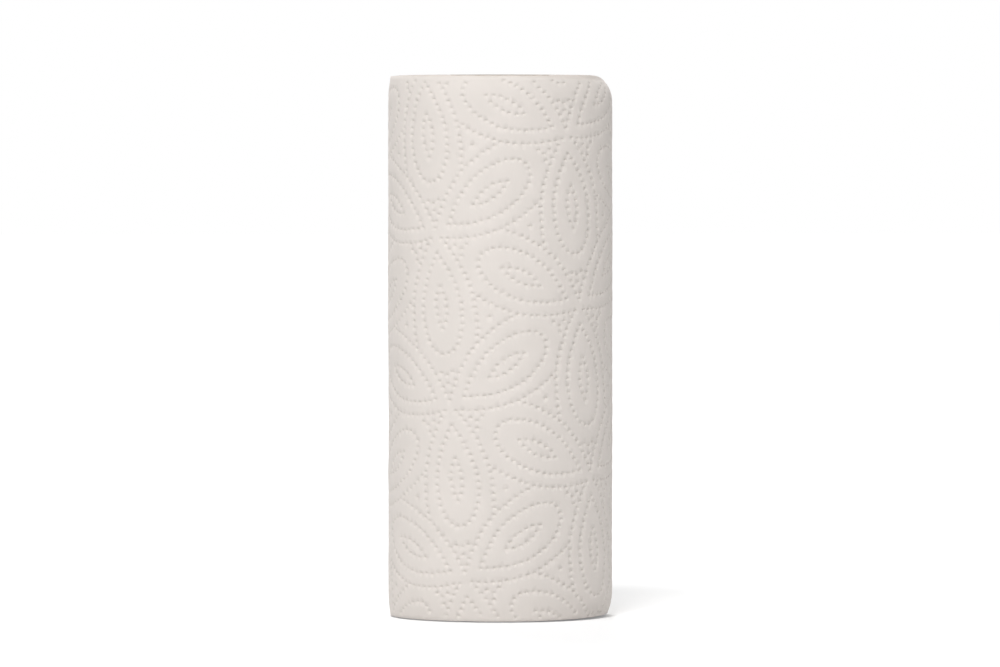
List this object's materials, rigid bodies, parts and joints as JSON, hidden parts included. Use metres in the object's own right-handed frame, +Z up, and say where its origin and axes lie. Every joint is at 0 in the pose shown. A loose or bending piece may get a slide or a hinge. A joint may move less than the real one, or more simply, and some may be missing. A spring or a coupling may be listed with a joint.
{
  "type": "paper towel roll",
  "caption": "Upright roll of embossed paper towel wound on a cardboard core, with a free tail and a line of perforations.",
  "frame": {"origin": "middle of the core's bore at the roll's lower end", "axes": "+Z up along the core, +Y to the back of the roll as pictured"},
  "size_m": [0.094, 0.0945, 0.228],
  "materials": {
    "paper": "soft, matt, embossed",
    "board": "matt, uncoated"
  },
  "bodies": {
    "root": {"paper_roll": "paper", "cardboard_core": "board"}
  },
  "joints": []
}
